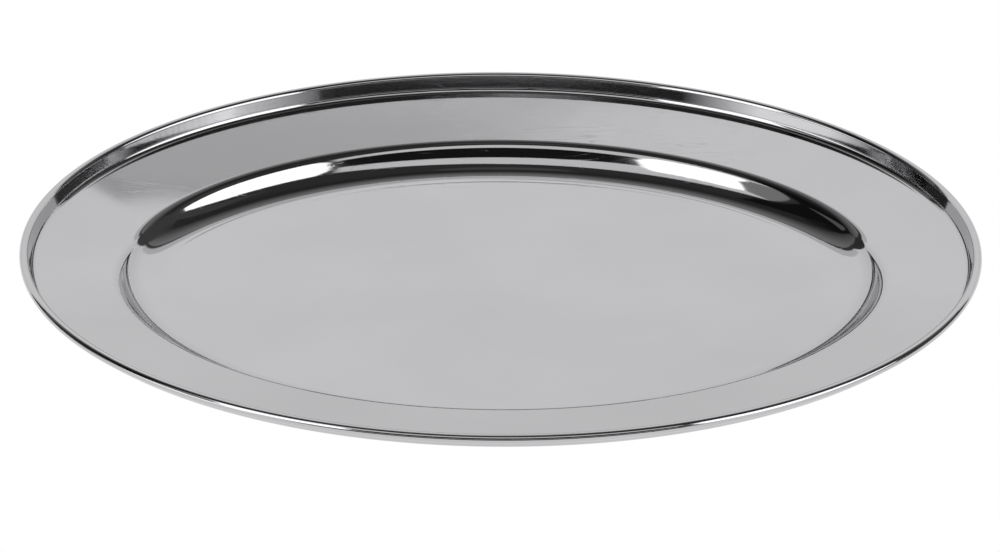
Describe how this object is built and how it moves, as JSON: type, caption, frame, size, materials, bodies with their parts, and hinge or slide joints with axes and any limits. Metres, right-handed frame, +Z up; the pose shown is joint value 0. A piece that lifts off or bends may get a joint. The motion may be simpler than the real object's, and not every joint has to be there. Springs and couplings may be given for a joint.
{
  "type": "serving tray",
  "caption": "Oval serving tray pressed from polished stainless steel sheet, with a shallow flat-bottomed well, a wide sloping flange and a rolled rim.",
  "frame": {"origin": "on the ground under the middle of the tray's flat floor", "axes": "+X along the oval's long axis, +Y along its short axis, +Z up out of the well"},
  "size_m": [0.5, 0.35, 0.032],
  "materials": {
    "polished_steel": "polished"
  },
  "bodies": {
    "root": {"pressed_tray": "polished_steel"}
  },
  "joints": []
}
